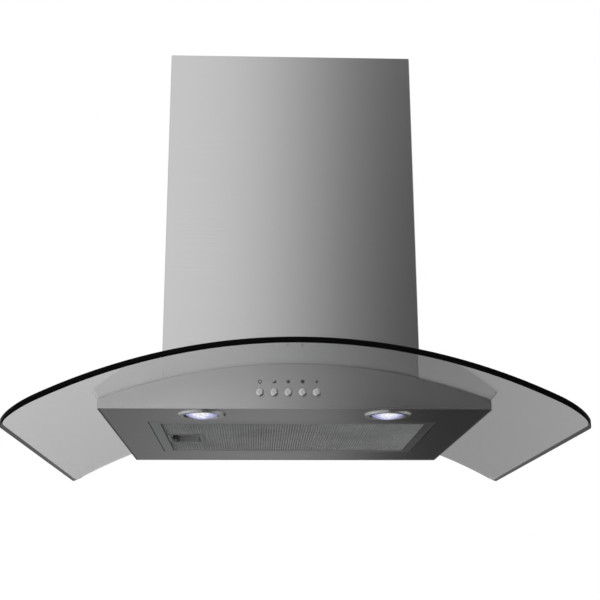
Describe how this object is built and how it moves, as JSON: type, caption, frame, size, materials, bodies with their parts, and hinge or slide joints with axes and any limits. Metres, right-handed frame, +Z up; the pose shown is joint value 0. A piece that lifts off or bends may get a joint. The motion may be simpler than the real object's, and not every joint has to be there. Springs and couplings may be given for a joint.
{
  "type": "curved glass range hood",
  "caption": "Wall-mounted chimney range hood with an arched glass canopy, brushed steel body, hinged grease filter, round lamps and a row of push buttons.",
  "frame": {"origin": "centre of the four wall-screw holes, in the plane of the wall", "axes": "+X to the right for someone facing the hood, +Y into the wall, +Z up"},
  "size_m": [0.6, 0.5, 0.5358],
  "materials": {
    "canopy_glass": "clear toughened glass with a faint grey-green tint, ground edges",
    "stainless": "fine straight brushing",
    "galvanised": "dull zinc-coated sheet",
    "filter_aluminium": "anodised, matt",
    "filter_knob": "black, smooth",
    "latch_steel": "bright plated",
    "spring_steel": "drawn wire",
    "lamp_ring": "satin plated",
    "lamp_lens": "frosted",
    "lamp_body": "cast, matt",
    "button_cap": "satin plated plastic",
    "black_plastic": "fine texture",
    "grey_plastic": "fine texture",
    "white_plastic": "smooth",
    "circuit_board": "lacquered laminate",
    "seal_rubber": "matt",
    "motor_paint": "grey enamel",
    "motor_iron": "stacked sheet, bare edges",
    "screw_steel": "zinc plated",
    "wire_cover": "soft sleeve"
  },
  "bodies": {
    "hood": {"glass_canopy": "canopy_glass", "glass_seals": "seal_rubber", "glass_fasteners": "screw_steel", "clamp_frame": "galvanised", "front_wrap": "stainless", "rear_wall": "galvanised", "bottom_pan": "stainless", "top_cover": "galvanised", "lamp_bezel_left": "lamp_ring", "lamp_bezel_right": "lamp_ring", "lamp_lens_left": "lamp_lens", "lamp_lens_right": "lamp_lens", "lamp_modules": "lamp_body", "lamp_clips": "spring_steel", "button_springs": "spring_steel", "switch_block": "black_plastic", "switch_board": "circuit_board", "lower_chimney": "stainless", "chimney_side_brackets": "galvanised", "chimney_screws": "screw_steel", "fan_box_wrap": "galvanised", "fan_box_back": "galvanised", "fan_box_top": "galvanised", "chassis_screws": "screw_steel", "scroll_left": "grey_plastic", "scroll_right": "grey_plastic", "motor_can": "motor_paint", "motor_stator": "motor_iron", "motor_mount": "galvanised", "outlet_collar": "black_plastic", "flap_pin": "latch_steel", "control_box": "white_plastic", "control_box_lid": "white_plastic", "control_board": "circuit_board", "capacitor": "white_plastic", "cable_gland": "black_plastic", "wiring": "wire_cover"},
    "upper_cover": {"upper_chimney": "stainless", "ceiling_bracket": "galvanised", "ceiling_bracket_screws": "screw_steel"},
    "filter": {"filter_frame": "filter_aluminium", "filter_lower_mesh": "filter_aluminium", "filter_core": "filter_aluminium", "filter_upper_mesh": "filter_aluminium", "filter_hinge_pins": "latch_steel", "filter_latch_cup": "filter_aluminium", "filter_latch_spring": "spring_steel"},
    "filter_latch": {"filter_latch_bolt": "latch_steel", "filter_latch_knob": "filter_knob"},
    "fan": {"fan_wheel": "white_plastic", "motor_shaft": "latch_steel", "motor_rotor": "motor_iron", "wheel_nut": "screw_steel"},
    "flap_front": {"flap_front": "black_plastic"},
    "flap_rear": {"flap_rear": "black_plastic"},
    "button_light": {"button_light": "button_cap"},
    "button_stop": {"button_stop": "button_cap"},
    "button_low": {"button_low": "button_cap"},
    "button_medium": {"button_medium": "button_cap"},
    "button_high": {"button_high": "button_cap"}
  },
  "joints": [
    {"name": "upper_cover_slide", "type": "slide", "parent": "hood", "child": "upper_cover", "axis": [0, 0, 1], "range_m": [0, 0.3]},
    {"name": "filter_hinge", "type": "hinge", "parent": "hood", "child": "filter", "pos_m": [0.16, -0.195, -0.1762], "axis": [0, -1, 0], "range_deg": [0, 80]},
    {"name": "filter_latch_slide", "type": "slide", "parent": "filter", "child": "filter_latch", "axis": [1, 0, 0], "range_m": [0, 0.006], "stiffness_N_per_m": 300, "springref_m": -0.01, "deforming": ["filter_latch_spring"]},
    {"name": "fan_spin", "type": "hinge", "parent": "hood", "child": "fan", "pos_m": [0, -0.1025, -0.0135], "axis": [1, 0, 0], "continuous": true},
    {"name": "flap_front_hinge", "type": "hinge", "parent": "hood", "child": "flap_front", "pos_m": [0, -0.14775, 0.1275], "axis": [-1, 0, 0], "range_deg": [0, 80]},
    {"name": "flap_rear_hinge", "type": "hinge", "parent": "hood", "child": "flap_rear", "pos_m": [0, -0.14775, 0.1275], "axis": [1, 0, 0], "range_deg": [0, 80]},
    {"name": "button_light_press", "type": "slide", "parent": "hood", "child": "button_light", "axis": [0, 1, 0], "range_m": [0, 0.003], "stiffness_N_per_m": 400, "springref_m": -0.003, "deforming": ["button_springs"]},
    {"name": "button_stop_press", "type": "slide", "parent": "hood", "child": "button_stop", "axis": [0, 1, 0], "range_m": [0, 0.003], "stiffness_N_per_m": 400, "springref_m": -0.003},
    {"name": "button_low_press", "type": "slide", "parent": "hood", "child": "button_low", "axis": [0, 1, 0], "range_m": [0, 0.003], "stiffness_N_per_m": 400, "springref_m": -0.003},
    {"name": "button_medium_press", "type": "slide", "parent": "hood", "child": "button_medium", "axis": [0, 1, 0], "range_m": [0, 0.003], "stiffness_N_per_m": 400, "springref_m": -0.003},
    {"name": "button_high_press", "type": "slide", "parent": "hood", "child": "button_high", "axis": [0, 1, 0], "range_m": [0, 0.003], "stiffness_N_per_m": 400, "springref_m": -0.003}
  ]
}
